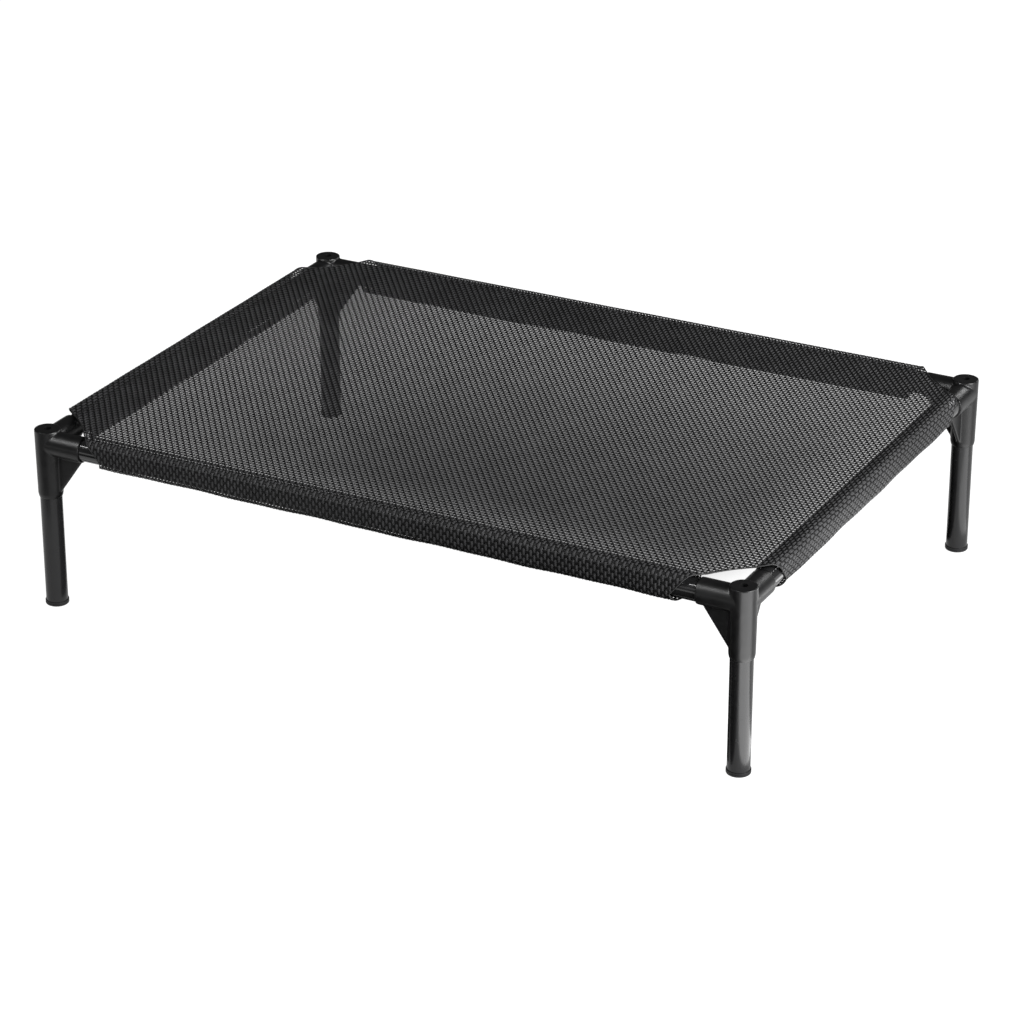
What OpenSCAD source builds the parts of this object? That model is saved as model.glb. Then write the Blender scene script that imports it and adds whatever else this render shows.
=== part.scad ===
// Raised pet cot: a mesh sling stretched on a tube frame with four plug-in legs.
// The origin is on the floor under the middle of the cot, with +X along the long side and +Z up.

/* [Overall] */
// Distance between the leg axes along the long side
leg_span_x = 750; // [500:10:1000]
// Distance between the leg axes along the short side
leg_span_y = 540; // [400:10:750]
// Height of the corner connectors' tops above the floor
top_z = 190; // [160:5:260]

/* [Tubes] */
// Outer diameter of the rails and legs
tube_d = 22; // [20:0.5:24]
// Wall thickness of the rails and legs
tube_wall = 1.2; // [1:0.1:1.6]
// Radial clearance of a tube in its socket
socket_play = 0.1; // [0.05:0.05:0.1]

/* [Corner connectors] */
// Length of the upright that holds the leg
upright_h = 72; // [66:1:80]
// Wall of the upright around the leg, at its lower end
upright_wall = 1.5; // [1.2:0.1:2]
// Extra radius of the upright at its top
upright_taper = 0.6; // [0:0.1:1]
// Height of the chamfered lip at the lower end
lip_h = 4; // [2:0.5:6]
// Wall of the arms around the rails
arm_wall = 1.85; // [1.5:0.05:2.2]
// Reach of each arm from the leg axis
arm_reach = 43; // [42:0.5:46]
// Depth of the rail axes below the connector's top
rail_drop = 14.7; // [14:0.1:16]
// Chamfer of the top edge and the arm ends
edge_chamfer = 0.8; // [0.4:0.1:1]
// Thickness of the gusset web under each arm
web_t = 4; // [3:0.5:6]
// Reach of the web from the leg axis
web_reach = 40; // [34:1:42]
// Depth of the web's lower tip below the connector's top
web_drop = 66; // [60:1:66]
// Height of the leg's top above the upright's lower end
leg_engage = 40; // [34:1:42]

/* [Leg bolts] */
// Shank diameter
bolt_d = 4; // [4:0.5:5]
// Shank length below the head
bolt_l = 35; // [33:1:38]
// Head diameter
head_d = 7; // [7:0.5:8]
// Head height
head_h = 4; // [3:0.5:5]
// Depth of the head below the connector's top
head_recess = 3; // [2:0.5:4]
// Length of the threaded plug in the leg's top
insert_h = 14; // [12:1:18]

/* [Feet] */
// Diameter of the foot's flange
foot_d = 23.6; // [23.2:0.2:26]
// Height of the flange, on which the leg tube stands
foot_h = 4.5; // [4:0.5:8]
// Length of the foot's stem inside the leg
foot_stem_h = 16; // [12:1:24]

/* [Sling] */
// Thickness of the mesh fabric
fabric_t = 1; // [0.8:0.1:1.2]
// Rise of the panel's upper face above the rails
panel_rise = 4; // [3:0.5:5]
// Rise of the loose sleeves above the rails
sleeve_rise = 5.5; // [4:0.5:7]
// Drop of the loose sleeves below the rails
sleeve_drop = 2.7; // [2:0.1:4]
// Reach of the sleeves' slack inwards of the rail axes
sleeve_in = 19; // [17:0.5:22]
// Distance of the seams inwards of the rail axes
seam_in = 6; // [6:0.5:9]
// Distance of the sleeve ends from the leg axes, at the top
sleeve_end_top = 46.5; // [46.5:0.5:56]
// Distance of the sleeve ends from the leg axes, at the bottom
sleeve_end_bottom = 72; // [64:1:84]
// Distance of the panel's cut corners from the leg axes, along each rail
corner_cut = 39; // [36:1:60]
// Depth of the curve in each cut corner
corner_sag = 2; // [1:0.5:5]
// Openings along the panel's length, a coarse grid in place of the fine mesh
mesh_columns = 12; // [4:2:12]
// Openings along the panel's width
mesh_rows = 8; // [4:2:12]
// Open share of the panel
mesh_open = 0.1; // [0.04:0.01:0.2]

/* [Hidden] */
$fn = 64;

plastic_black = "#232426";
tube_black = "#1b1c1e";
bolt_black = "#101113";
insert_grey = "#8a8c8f";
mesh_grey = "#3a3b3d";

// Overshoot of a cut past the face that it opens
over = 1;

tube_r = tube_d / 2;
tube_bore_r = tube_r - tube_wall;
socket_r = tube_r + socket_play;
rail_z = top_z - rail_drop;

upright_r = tube_r + upright_wall;
upright_top_r = upright_r + upright_taper;
upright_z = top_z - upright_h;
lip_wall = 0.5;
lip_r = socket_r + lip_wall;
arm_r = tube_r + arm_wall;
rail_stop_wall = 1.2;
rail_stop = upright_top_r + rail_stop_wall;
rail_end_gap = 0.2;
leg_top_z = upright_z + leg_engage;
leg_top_gap = 0.2;

bolt_play = 0.1;
bolt_hole_play = 0.3;
bolt_hole_r = bolt_d / 2 + bolt_hole_play;
head_play = 0.4;
counterbore_r = head_d / 2 + head_play;
head_seat_z = top_z - head_recess - head_h;
hex_d = 3.5;
hex_depth = 2.2;

plug_play = 0.05;
foot_fin_depth = 0.6;
foot_stem_r = tube_bore_r - foot_fin_depth;
foot_fin_r = tube_bore_r - plug_play;
foot_fin_h = 1.2;
foot_wall = 2;
foot_hollow_r = foot_stem_r - foot_wall;
foot_edge_r = 1.5;
foot_groove = 0.3;
foot_groove_z = 2.6;
foot_groove_h = 0.6;

// Sleeve section, as circles that the fabric loop wraps; u points inwards and w upwards.
shoulder_r = 8;
shoulder_gap = 1.5;
shoulder_c = [shoulder_r - tube_r - shoulder_gap, tube_r + sleeve_rise - shoulder_r];
belly_r = 10;
belly_gap = 1.2;
belly_c = [belly_r - tube_r - belly_gap, belly_r - tube_r - sleeve_drop];
hem_r = 5.5;
hem_dip = 0.3;
hem_drop = sleeve_drop + hem_dip;
hem_c = [sleeve_in - hem_r, hem_r - tube_r - hem_drop];
seam_r = 1.5;
seam_c = [seam_in - seam_r, tube_r + panel_rise - seam_r];
sleeve_top = tube_r + sleeve_rise;
sleeve_bottom = -tube_r - hem_drop;
sleeve_margin = 4;

panel_gap = 0.1;
panel_half_x = leg_span_x / 2 - seam_in - panel_gap;
panel_half_y = leg_span_y / 2 - seam_in - panel_gap;
panel_cut = corner_cut - seam_in - panel_gap;
panel_top_z = rail_z + tube_r + panel_rise;
cut_half = panel_cut / sqrt(2);
cut_r = (cut_half * cut_half + corner_sag * corner_sag) / (2 * corner_sag);
cut_out = (cut_r - corner_sag - cut_half) / sqrt(2);

mesh_cell_x = 2 * panel_half_x / mesh_columns;
mesh_cell_y = 2 * panel_half_y / mesh_rows;
// Half diagonal of an opening, as a share of its cell
opening_reach = sqrt(mesh_open / 2);

// Distance of a sleeve's end from the leg axis, at height w above the rail axis
function sleeve_end(w) = sleeve_end_top
  + (sleeve_end_bottom - sleeve_end_top) * (sleeve_top - w) / (sleeve_top - sleeve_bottom);

// Puts a part that is drawn for the front left corner at the corner on sides sx and sy.
module at_corner(sx, sy) {
  mirror([sx > 0 ? 1 : 0, 0, 0])
    mirror([0, sy > 0 ? 1 : 0, 0])
      translate([-leg_span_x / 2, -leg_span_y / 2, 0])
        children();
}

// Turns a shape that lies along +Z into the +X or +Y direction, at rail height.
module along_arm(turn) {
  translate([0, 0, rail_z])
    rotate([0, 0, turn])
      rotate([0, 90, 0])
        children();
}

// Upright of a connector: a slightly tapered barrel with a chamfered top and a lip.
module upright() {
  rotate_extrude()
    polygon([
      [0, upright_z],
      [lip_r, upright_z],
      [upright_r, upright_z + lip_h],
      [upright_top_r, top_z - edge_chamfer],
      [upright_top_r - edge_chamfer, top_z],
      [0, top_z]
    ]);
}

// One horizontal arm, along +Z from the leg axis.
module arm() {
  rotate_extrude()
    polygon([
      [0, 0],
      [arm_r, 0],
      [arm_r, arm_reach - edge_chamfer],
      [arm_r - edge_chamfer, arm_reach],
      [0, arm_reach]
    ]);
}

// Gusset web under the arm that points along +X.
module web() {
  rotate([90, 0, 0])
    linear_extrude(height = web_t, center = true)
      polygon([
        [0, rail_z],
        [web_reach, rail_z],
        [web_reach, rail_z - arm_r],
        [upright_r, top_z - web_drop],
        [0, top_z - web_drop]
      ]);
}

// Three-way moulded corner: leg socket below, rail sockets in the arms, bolt hole on top.
module corner_connector() {
  color(plastic_black)
    difference() {
      union() {
        upright();
        for (turn = [0, 90]) {
          along_arm(turn) arm();
          rotate([0, 0, turn]) web();
        }
      }
      translate([0, 0, upright_z - over])
        cylinder(r = socket_r, h = leg_engage + leg_top_gap + over);
      for (turn = [0, 90])
        along_arm(turn)
          translate([0, 0, rail_stop])
            cylinder(r = socket_r, h = arm_reach);
      translate([0, 0, upright_z])
        cylinder(r = bolt_hole_r, h = upright_h + over);
      translate([0, 0, head_seat_z])
        cylinder(r = counterbore_r, h = head_recess + head_h + over);
    }
}

// Straight steel tube along +Z.
module tube(length) {
  difference() {
    cylinder(r = tube_r, h = length);
    translate([0, 0, -over])
      cylinder(r = tube_bore_r, h = length + 2 * over);
  }
}

// Rail between two connectors whose leg axes are span apart, centred on its own length along X.
module rail(span) {
  length = span - 2 * (rail_stop + rail_end_gap);
  color(tube_black)
    translate([-length / 2, 0, rail_z])
      rotate([0, 90, 0])
        tube(length);
}

// Leg tube, standing on the foot's flange.
module leg_tube() {
  color(tube_black)
    translate([0, 0, foot_h])
      tube(leg_top_z - foot_h);
}

// Ring fin that grips the inside of the leg tube.
module foot_fin(z) {
  translate([0, 0, z])
    cylinder(r1 = foot_fin_r, r2 = foot_stem_r, h = foot_fin_h);
}

// Foot: a grooved flange under the leg tube and a finned stem inside it.
module foot_plug() {
  color(plastic_black)
    difference() {
      union() {
        rotate_extrude() {
          difference() {
            union() {
              square([foot_d / 2 - foot_edge_r, foot_h]);
              translate([0, foot_edge_r])
                square([foot_d / 2, foot_h - foot_edge_r]);
              translate([foot_d / 2 - foot_edge_r, foot_edge_r])
                circle(r = foot_edge_r);
            }
            translate([foot_d / 2 - foot_groove, foot_groove_z])
              square([over, foot_groove_h]);
          }
        }
        cylinder(r = foot_stem_r, h = foot_h + foot_stem_h);
        for (step = [1 : 3])
          foot_fin(foot_h + step * foot_stem_h / 4);
      }
      translate([0, 0, foot_h])
        cylinder(r = foot_hollow_r, h = foot_stem_h + over);
    }
}

// Threaded plug pressed into the leg's top, which the bolt screws into.
module leg_insert() {
  color(insert_grey)
    translate([0, 0, leg_top_z - insert_h])
      difference() {
        cylinder(r = tube_bore_r - plug_play, h = insert_h);
        translate([0, 0, -over])
          cylinder(r = bolt_d / 2 + bolt_play, h = insert_h + 2 * over);
      }
}

// Socket-head bolt, sunk in the connector's top.
module leg_bolt() {
  color(bolt_black)
    difference() {
      union() {
        translate([0, 0, head_seat_z])
          cylinder(d = head_d, h = head_h);
        translate([0, 0, head_seat_z - bolt_l])
          cylinder(d = bolt_d, h = bolt_l + head_h / 2);
      }
      translate([0, 0, head_seat_z + head_h - hex_depth])
        cylinder(d = hex_d, h = hex_depth + over, $fn = 6);
    }
}

// Outline of the fabric loop, drawn in by inset from the sleeve's outer face.
module sleeve_loop(inset) {
  hull() {
    translate(shoulder_c) circle(r = shoulder_r - inset, $fn = 32);
    translate(belly_c) circle(r = belly_r - inset, $fn = 32);
    translate(hem_c) circle(r = hem_r - inset, $fn = 32);
    translate(seam_c) circle(r = seam_r - inset, $fn = 32);
  }
}

// Loose sleeve along X around a rail, cut back at a slant towards its underside.
module sleeve(span) {
  low = sleeve_bottom - sleeve_margin;
  high = sleeve_top + sleeve_margin;
  color(mesh_grey)
    translate([0, 0, rail_z])
      intersection() {
        rotate([90, 0, 90])
          linear_extrude(height = span, center = true)
            difference() {
              sleeve_loop(0);
              sleeve_loop(fabric_t);
            }
        rotate([90, 0, 0])
          linear_extrude(height = 4 * sleeve_in, center = true)
            polygon([
              [sleeve_end(low) - span / 2, low],
              [span / 2 - sleeve_end(low), low],
              [span / 2 - sleeve_end(high), high],
              [sleeve_end(high) - span / 2, high]
            ]);
      }
}

// Diamond opening of the mesh, centred on its cell.
module mesh_opening() {
  polygon([
    [-opening_reach * mesh_cell_x, 0],
    [0, -opening_reach * mesh_cell_y],
    [opening_reach * mesh_cell_x, 0],
    [0, opening_reach * mesh_cell_y]
  ]);
}

// Flat mesh panel between the four seams, with hollow-cut corners and a grid of openings.
module mesh_panel() {
  color(mesh_grey)
    translate([0, 0, panel_top_z - fabric_t])
      linear_extrude(height = fabric_t)
        difference() {
          square([2 * panel_half_x, 2 * panel_half_y], center = true);
          for (sx = [-1, 1], sy = [-1, 1])
            translate([sx * panel_half_x, sy * panel_half_y]) {
              rotate(45) square(sqrt(2) * panel_cut, center = true);
              translate([sx * cut_out, sy * cut_out]) circle(r = cut_r, $fn = 128);
            }
          for (column = [0 : mesh_columns - 1], row = [0 : mesh_rows - 1])
            translate([
              (column + 0.5) * mesh_cell_x - panel_half_x,
              (row + 0.5) * mesh_cell_y - panel_half_y
            ])
              mesh_opening();
        }
}

// Puts a part that runs along X on a side: turn is 0 for the front, 180 rear, -90 left and 90 right.
module on_side(turn, spacing) {
  rotate([0, 0, turn])
    translate([0, -spacing / 2, 0])
      children();
}

at_corner(-1, -1) corner_connector();  // corner_connector_front_left
at_corner(1, -1) corner_connector();  // corner_connector_front_right
at_corner(-1, 1) corner_connector();  // corner_connector_rear_left
at_corner(1, 1) corner_connector();  // corner_connector_rear_right
at_corner(-1, -1) leg_tube();  // leg_tube_front_left
at_corner(1, -1) leg_tube();  // leg_tube_front_right
at_corner(-1, 1) leg_tube();  // leg_tube_rear_left
at_corner(1, 1) leg_tube();  // leg_tube_rear_right
at_corner(-1, -1) foot_plug();  // foot_plug_front_left
at_corner(1, -1) foot_plug();  // foot_plug_front_right
at_corner(-1, 1) foot_plug();  // foot_plug_rear_left
at_corner(1, 1) foot_plug();  // foot_plug_rear_right
at_corner(-1, -1) leg_insert();  // leg_insert_front_left
at_corner(1, -1) leg_insert();  // leg_insert_front_right
at_corner(-1, 1) leg_insert();  // leg_insert_rear_left
at_corner(1, 1) leg_insert();  // leg_insert_rear_right
at_corner(-1, -1) leg_bolt();  // leg_bolt_front_left
at_corner(1, -1) leg_bolt();  // leg_bolt_front_right
at_corner(-1, 1) leg_bolt();  // leg_bolt_rear_left
at_corner(1, 1) leg_bolt();  // leg_bolt_rear_right
on_side(0, leg_span_y) rail(leg_span_x);  // long_rail_front
on_side(180, leg_span_y) rail(leg_span_x);  // long_rail_rear
on_side(-90, leg_span_x) rail(leg_span_y);  // short_rail_left
on_side(90, leg_span_x) rail(leg_span_y);  // short_rail_right
mesh_panel();
on_side(0, leg_span_y) sleeve(leg_span_x);  // sleeve_front
on_side(180, leg_span_y) sleeve(leg_span_x);  // sleeve_rear
on_side(-90, leg_span_x) sleeve(leg_span_y);  // sleeve_left
on_side(90, leg_span_x) sleeve(leg_span_y);  // sleeve_right
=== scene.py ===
"""Raised pet cot: a mesh sling on a tube frame, with moulded corner connectors and plug-in legs.

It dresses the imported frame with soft-edged connectors, a woven sling with loose sleeves,
finishes for the tubes, feet and bolts, and a white studio.
"""

import math

import bpy
import numpy as np
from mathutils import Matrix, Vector


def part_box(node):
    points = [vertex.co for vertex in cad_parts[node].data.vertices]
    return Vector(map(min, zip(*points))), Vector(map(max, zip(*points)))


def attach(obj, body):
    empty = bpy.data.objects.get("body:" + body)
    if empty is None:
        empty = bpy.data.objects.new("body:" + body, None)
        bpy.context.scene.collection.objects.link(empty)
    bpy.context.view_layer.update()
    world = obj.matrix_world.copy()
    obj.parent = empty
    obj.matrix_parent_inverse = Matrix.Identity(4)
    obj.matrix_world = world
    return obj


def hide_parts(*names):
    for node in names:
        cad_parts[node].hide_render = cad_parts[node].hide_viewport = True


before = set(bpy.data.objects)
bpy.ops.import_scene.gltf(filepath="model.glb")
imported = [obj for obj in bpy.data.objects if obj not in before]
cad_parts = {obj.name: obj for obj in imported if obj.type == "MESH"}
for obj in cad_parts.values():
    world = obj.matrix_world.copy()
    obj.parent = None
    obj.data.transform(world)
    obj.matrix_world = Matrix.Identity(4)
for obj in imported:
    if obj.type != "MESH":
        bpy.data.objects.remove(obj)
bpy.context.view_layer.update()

bl_info = {
    "name": "Raised pet cot",
    "version": (1, 0, 0),
    "blender": (4, 5, 0),
    "location": "View3D > Sidebar > Cot",
    "description": "Dresses a raised pet cot with its sling, connectors, finishes and studio",
    "category": "Object",
}

# Places that the frame gives, in metres
LEG_LOW, LEG_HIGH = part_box("leg_tube_front_left")
RAIL_LOW, RAIL_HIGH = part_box("long_rail_front")
CONNECTOR_LOW, CONNECTOR_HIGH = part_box("corner_connector_front_left")
PANEL_LOW, PANEL_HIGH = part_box("mesh_panel")
SLEEVE_LOW, SLEEVE_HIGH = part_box("sleeve_front")
LEG_X = -(LEG_LOW.x + LEG_HIGH.x) / 2
LEG_Y = -(LEG_LOW.y + LEG_HIGH.y) / 2
TUBE_R = (LEG_HIGH.x - LEG_LOW.x) / 2
LEG_TOP = LEG_HIGH.z
RAIL_Z = (RAIL_LOW.z + RAIL_HIGH.z) / 2
TOP_Z = CONNECTOR_HIGH.z
UPRIGHT_Z = CONNECTOR_LOW.z
BOLT_HEAD_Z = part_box("leg_bolt_front_left")[1].z
# Distances from a leg's axis
RAIL_END = RAIL_LOW.x + LEG_X
UPRIGHT_TOP_R = -LEG_X - CONNECTOR_LOW.x
ARM_REACH = CONNECTOR_HIGH.x + LEG_X

MM = 0.001
BODY = "frame"
# Each corner's turn about its leg axis in degrees, from the front left one
CORNER_TURNS = {"front_left": 0, "front_right": 90, "rear_right": 180, "rear_left": 270}
# Each side's outward direction: the axis, 0 for X and 1 for Y, and the sign along it
SIDES = {"front": (1, -1), "rear": (1, 1), "left": (0, -1), "right": (0, 1)}
# Each side's turn about the middle of the cot in degrees, from the front one
SIDE_TURNS = {"front": 0, "right": 90, "rear": 180, "left": 270}

# How finely the pieces are divided
TURNED_SIDES = 96
BEAD_SIDES = 8
LOOP_POINTS = 240
CORNER_POINTS = 24
# Angle between faces above which an edge stays sharp
CREASE = math.radians(35)
# Points of a strand that lie closer than this become one
MERGE_DISTANCE = 0.002 * MM
# Step counts along a strand: too short for a face, and beyond the end of any strand
LEAST_STEP, FAR = 1e-6, 1e4
# Places across a strand: its two edges and its middle
ACROSS = np.array([-1.0, 0.0, 1.0])
# A direction that no bead starts along
ASKEW = (0.3, 0.5, 0.8)
# Soft waves along a sleeve: height as a share of the ripple, radians per metre along and round it, and start
SLEEVE_WAVES = ((1, 43, 25, 0), (0.6, 97, -60, 1.3))
# Stitches: distance from the panel's edge, and height as a share of their width
STITCH_INSET, STITCH_FLATNESS = 2 * MM, 0.8
# The values of a cloud pattern over which a finish varies
CLOUD_LOW, CLOUD_HIGH = 0.3, 0.7


def length(name, millimetres, description):
    """A size that a user would change, given in millimetres."""
    return bpy.props.FloatProperty(
        name=name, description=description, default=millimetres * MM, unit="LENGTH", precision=5
    )


def share(name, default, description):
    """A share between nothing and all."""
    return bpy.props.FloatProperty(name=name, description=description, default=default, min=0, max=1)


def colour(name, value, description):
    """A linear colour that a user would change."""
    return bpy.props.FloatVectorProperty(
        name=name, description=description, default=value, subtype="COLOR", size=3, min=0, max=1
    )


def angle(name, degrees, description):
    """An angle that a user would change, given in degrees."""
    return bpy.props.FloatProperty(
        name=name, description=description, default=math.radians(degrees), subtype="ANGLE"
    )


class CotConnector(bpy.types.PropertyGroup):
    """Sizes of the moulded corner connectors."""

    upright_radius: length("Upright radius", 12.5, "Radius of the upright above its lip")
    lip_height: length("Lip height", 4, "Height of the chamfered lip at the lower end")
    lip_wall: length("Lip wall", 0.6, "Wall of the lip around the leg")
    socket_play: length("Socket play", 0.1, "Radial clearance of a tube in its socket")
    arm_radius: length("Arm radius", 12.85, "Outer radius of the rail sockets")
    web_thickness: length("Web thickness", 4, "Thickness of the gusset web under each arm")
    web_reach: length("Web reach", 42, "Reach of the web's upper edge from the leg axis")
    web_sink: length("Web sink", 10, "Depth of the web's upper edge below the rail axis")
    web_drop: length("Web drop", 66, "Depth of the web's lower tip below the connector's top")
    hole_radius: length("Bolt hole radius", 2.3, "Radius of the hole for the bolt's shank")
    counterbore_radius: length("Counterbore radius", 3.9, "Radius of the recess for the bolt's head")
    bolt_head: length("Bolt head", 4, "Height of the bolt's head")
    grain: length("Voxel", 0.7, "Grid size at which the moulded shape is blended")
    blend_passes: bpy.props.IntProperty(
        name="Blend passes", description="Smoothing passes that round the edges", default=9, min=0
    )


class CotSling(bpy.types.PropertyGroup):
    """Sizes of the mesh sling."""

    cell_x: length("Cell length", 3.62, "Distance between the strands that run across the cot")
    cell_y: length("Cell width", 4.75, "Distance between the strands that run along the cot")
    panel_share: share("Panel share", 0.66, "Width of a strand in the panel, as a share of its cell")
    panel_wave: length("Panel wave", 0.6, "Rise and fall of a strand in the panel over its neighbours")
    panel_crown: length("Panel crown", 0.65, "Height of a strand's round top in the panel above its edges")
    sleeve_share: share("Sleeve share", 0.72, "Width of a strand in the sleeves, as a share of its cell")
    sleeve_wave: length("Sleeve wave", 0.3, "Rise and fall of a strand in the sleeves over its neighbours")
    sleeve_crown: length("Sleeve crown", 0.5, "Height of a strand's round top in the sleeves above its edges")
    cloth: length("Cloth thickness", 1, "Thickness of the cloth in the frame's solids")
    sag: length("Sag", 3, "Depth of the panel's middle below its edges")
    corner_sag: length("Corner sag", 2, "Depth of the curve in each cut corner")
    corner_cut: length("Corner cut", 32.9, "Length that the cut takes off each edge at a corner")
    shoulder_radius: length("Shoulder radius", 8, "Bend of the sleeve over the rail's outer top")
    belly_radius: length("Belly radius", 10, "Bend of the sleeve under the rail's outer side")
    hem_radius: length("Hem radius", 5.5, "Bend of the slack inside the rail")
    seam_radius: length("Seam radius", 1.5, "Bend of the sleeve at its seam")
    belly_side: length("Belly side", 1.2, "Gap between rail and sleeve on the outer side")
    belly_drop: length("Belly drop", 2.7, "Gap between rail and sleeve below the rail")
    end_tip: length("End tip", 68.5, "Distance of a sleeve's shortest line from the leg axis")
    end_tip_t: length("End tip place", 36, "Place of that line, round the sleeve from the panel's edge")
    end_inner: length("End inside", 44.5, "Distance of a sleeve's end from the leg axis, at its inner seam")
    ripple: length("Ripple", 0.35, "Depth of the soft waves along a sleeve")
    edge_radius: length("Edge radius", 0.65, "Radius of the fused bead along a cut edge")
    stitch_pitch: length("Stitch pitch", 4.2, "Distance between stitches")
    stitch_length: length("Stitch length", 3, "Length of one stitch")
    stitch_radius: length("Stitch radius", 0.35, "Radius of the sewing thread")


class CotFinish(bpy.types.PropertyGroup):
    """Colours of the cot's finishes."""

    plastic: colour("Plastic", (0.004, 0.004, 0.0042), "Moulded connectors")
    tube: colour("Tube", (0.013, 0.013, 0.0135), "Powder coat on the rails and legs")
    foot: colour("Foot", (0.006, 0.006, 0.0065), "Foot plugs")
    bolt: colour("Bolt", (0.030, 0.030, 0.032), "Black oxide on the leg bolts")
    insert: colour("Insert", (0.55, 0.55, 0.57), "Zinc on the threaded plugs")
    # Strand colours: their darkness is the coating's own, and the step from the darker strands along the cot
    # to the lighter ones across it is painted light and shade from the side light
    mesh_along_shaded: colour("Mesh along", (0.005, 0.005, 0.0052), "Coated strands along the cot")
    mesh_across_lit: colour("Mesh across", (0.043, 0.043, 0.0443), "Coated strands across the cot")
    thread: colour("Thread", (0.008, 0.008, 0.0083), "Sewing thread and fused edges")


class CotStage(bpy.types.PropertyGroup):
    """Camera, floor and lamps."""

    azimuth: angle("Azimuth", 27.92, "Camera's turn to the right of the cot's front")
    elevation: angle("Elevation", 24.84, "Camera's height above the floor, as an angle")
    distance: length("Distance", 3600, "Camera's distance from its aim")
    aim: bpy.props.FloatVectorProperty(
        name="Aim", description="Point that the camera looks at", subtype="XYZ",
        default=(0.007, -0.0175, 0.079),
    )
    lens: bpy.props.FloatProperty(
        name="Lens", description="Focal length on a 36 mm sensor", default=125.93, unit="CAMERA"
    )
    floor_size: length("Floor size", 40000, "Side of the square floor")
    floor: colour("Floor", (0.15, 0.15, 0.15), "Floor under its white glow")
    mirrored_glow: share("Mirrored glow", 0.7, "Share of the floor's white glow that shiny pieces mirror")
    # Depth of the painted shade on the floor, which stands in for the cot's shadow
    shade: share("Shade", 0.84, "Share of the white glow that the soft shade on the floor takes away")
    # Colour of the black flags that paint shade into what the shiny pieces mirror
    flag: colour("Flag", (0.01, 0.01, 0.01), "Black cards that the shiny pieces mirror")
    ambient: share("Ambient", 0.06, "Light from all round, as a share of full white")


# Width of the camera's sensor, for which the lens is given
SENSOR_MM = 36
# Edges of the painted shade on the floor, which stands in for the cot's shadow: axis, where it is full and
# where the floor is white, in metres
PAINTED_SHADE_EDGES = (("Y", 0.17, 0.0), ("Y", 0.1, 0.8), ("X", 0.12, 0.26), ("X", -0.15, -0.72))
# Heights of the black flags, which paint shade into reflections, and of the bright cards that lie on the
# floor
FLAG_Z, CARD_Z = 3 * MM, 4 * MM
# Lamps: name, place, aim, width and height in metres, watts, and whether dull surfaces are lit too
LAMPS = (
    ("right_softbox", (2.4, -0.5, 1.0), (0.2, -0.1, 0.1), 1.5, 1.6, 150, True),
    ("front_left_softbox", (-1.3, -1.8, 2.2), (0, 0, 0.1), 0.5, 0.5, 36, True),
    ("front_softbox", (0.1, -2.6, 1.1), (0, 0, 0.1), 1.6, 0.8, 4, True),
    ("rear_softbox", (0.9, 2.2, 1.3), (0.2, 0, 0.15), 1.0, 0.5, 11, True),
    ("front_card", (0.9, -0.58, CARD_Z), (0.9, -0.58, 1), 1.0, 0.74, 10.3, False),
    ("rear_card", (0.71, 0.2, CARD_Z), (0.71, 0.2, 1), 0.58, 0.2, 0.9, False),
    ("left_strip", (-1.2, -1.3, 2.12), (-1.2, -0.27, 0.175), 1.8, 0.12, 11, False),
)
# Black flags that paint shade into what the shiny pieces mirror, the one under the cot standing in for the
# cot's shadow: name, middle, width and depth in metres
SHADE_FLAGS = (
    ("under_shade_flag", (0, 0), 0.7, 0.56),
    ("right_shade_flag", (0.13, -0.57), 0.46, 0.56),
    ("left_shade_flag", (-0.5, -0.7), 0.5, 0.4),
)

GROUPS = {"connector": CotConnector, "sling": CotSling, "finish": CotFinish, "stage": CotStage}


def settings(group):
    """The scene's own values of one property group."""
    return getattr(bpy.context.scene, "cot_" + group)


# Modelling helpers


def select_only(*pieces):
    """Selects these objects alone, and makes the first one active."""
    bpy.ops.object.select_all(action="DESELECT")
    for piece in pieces:
        piece.select_set(True)
    bpy.context.view_layer.objects.active = pieces[0]


def place(piece, turn=0.0, tilt=0.0, move=(0, 0, 0)):
    """Tilts a piece about Y, turns it about Z, moves it, and keeps the place in its mesh."""
    select_only(piece)
    piece.rotation_euler = (0, tilt, turn)
    piece.location = move
    bpy.ops.object.transform_apply(location=True, rotation=True, scale=True)
    return piece


def turned(name, rings):
    """A turned solid about Z: a disc drawn up ring by ring, each ring a radius and a height."""
    bpy.ops.object.select_all(action="DESELECT")
    radius, height = rings[0]
    bpy.ops.mesh.primitive_circle_add(
        vertices=TURNED_SIDES, radius=radius, fill_type="NGON", location=(0, 0, height)
    )
    piece = bpy.context.object
    piece.name = name
    bpy.ops.object.mode_set(mode="EDIT")
    bpy.ops.mesh.select_all(action="SELECT")
    for next_radius, next_height in rings[1:]:
        bpy.ops.mesh.extrude_region_move(TRANSFORM_OT_translate={"value": (0, 0, next_height - height)})
        ratio = next_radius / radius
        bpy.ops.transform.resize(value=(ratio, ratio, 1), center_override=(0, 0, next_height))
        radius, height = next_radius, next_height
    bpy.ops.mesh.select_all(action="SELECT")
    bpy.ops.mesh.normals_make_consistent(inside=False)
    bpy.ops.object.mode_set(mode="OBJECT")
    bpy.ops.object.transform_apply(location=True, rotation=True, scale=True)
    return piece


def joined(*pieces):
    """Joins pieces into the first one."""
    select_only(*pieces)
    bpy.ops.object.join()
    return pieces[0]


def copied(piece, name):
    """A copy of a piece with its own mesh."""
    select_only(piece)
    bpy.ops.object.duplicate()
    twin = bpy.context.object
    twin.name = name
    return twin


def with_modifier(piece, kind, **values):
    """Adds a modifier and applies it."""
    select_only(piece)
    modifier = piece.modifiers.new(kind.title(), kind)
    for key, value in values.items():
        setattr(modifier, key, value)
    bpy.ops.object.modifier_apply(modifier=modifier.name)
    return piece


def mesh_piece(name, points, faces):
    """A new piece from points and faces, smooth all over."""
    mesh = bpy.data.meshes.new(name)
    mesh.from_pydata(points, [], faces)
    mesh.shade_smooth()
    piece = bpy.data.objects.new(name, mesh)
    bpy.context.scene.collection.objects.link(piece)
    return piece


# Finishes


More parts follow.
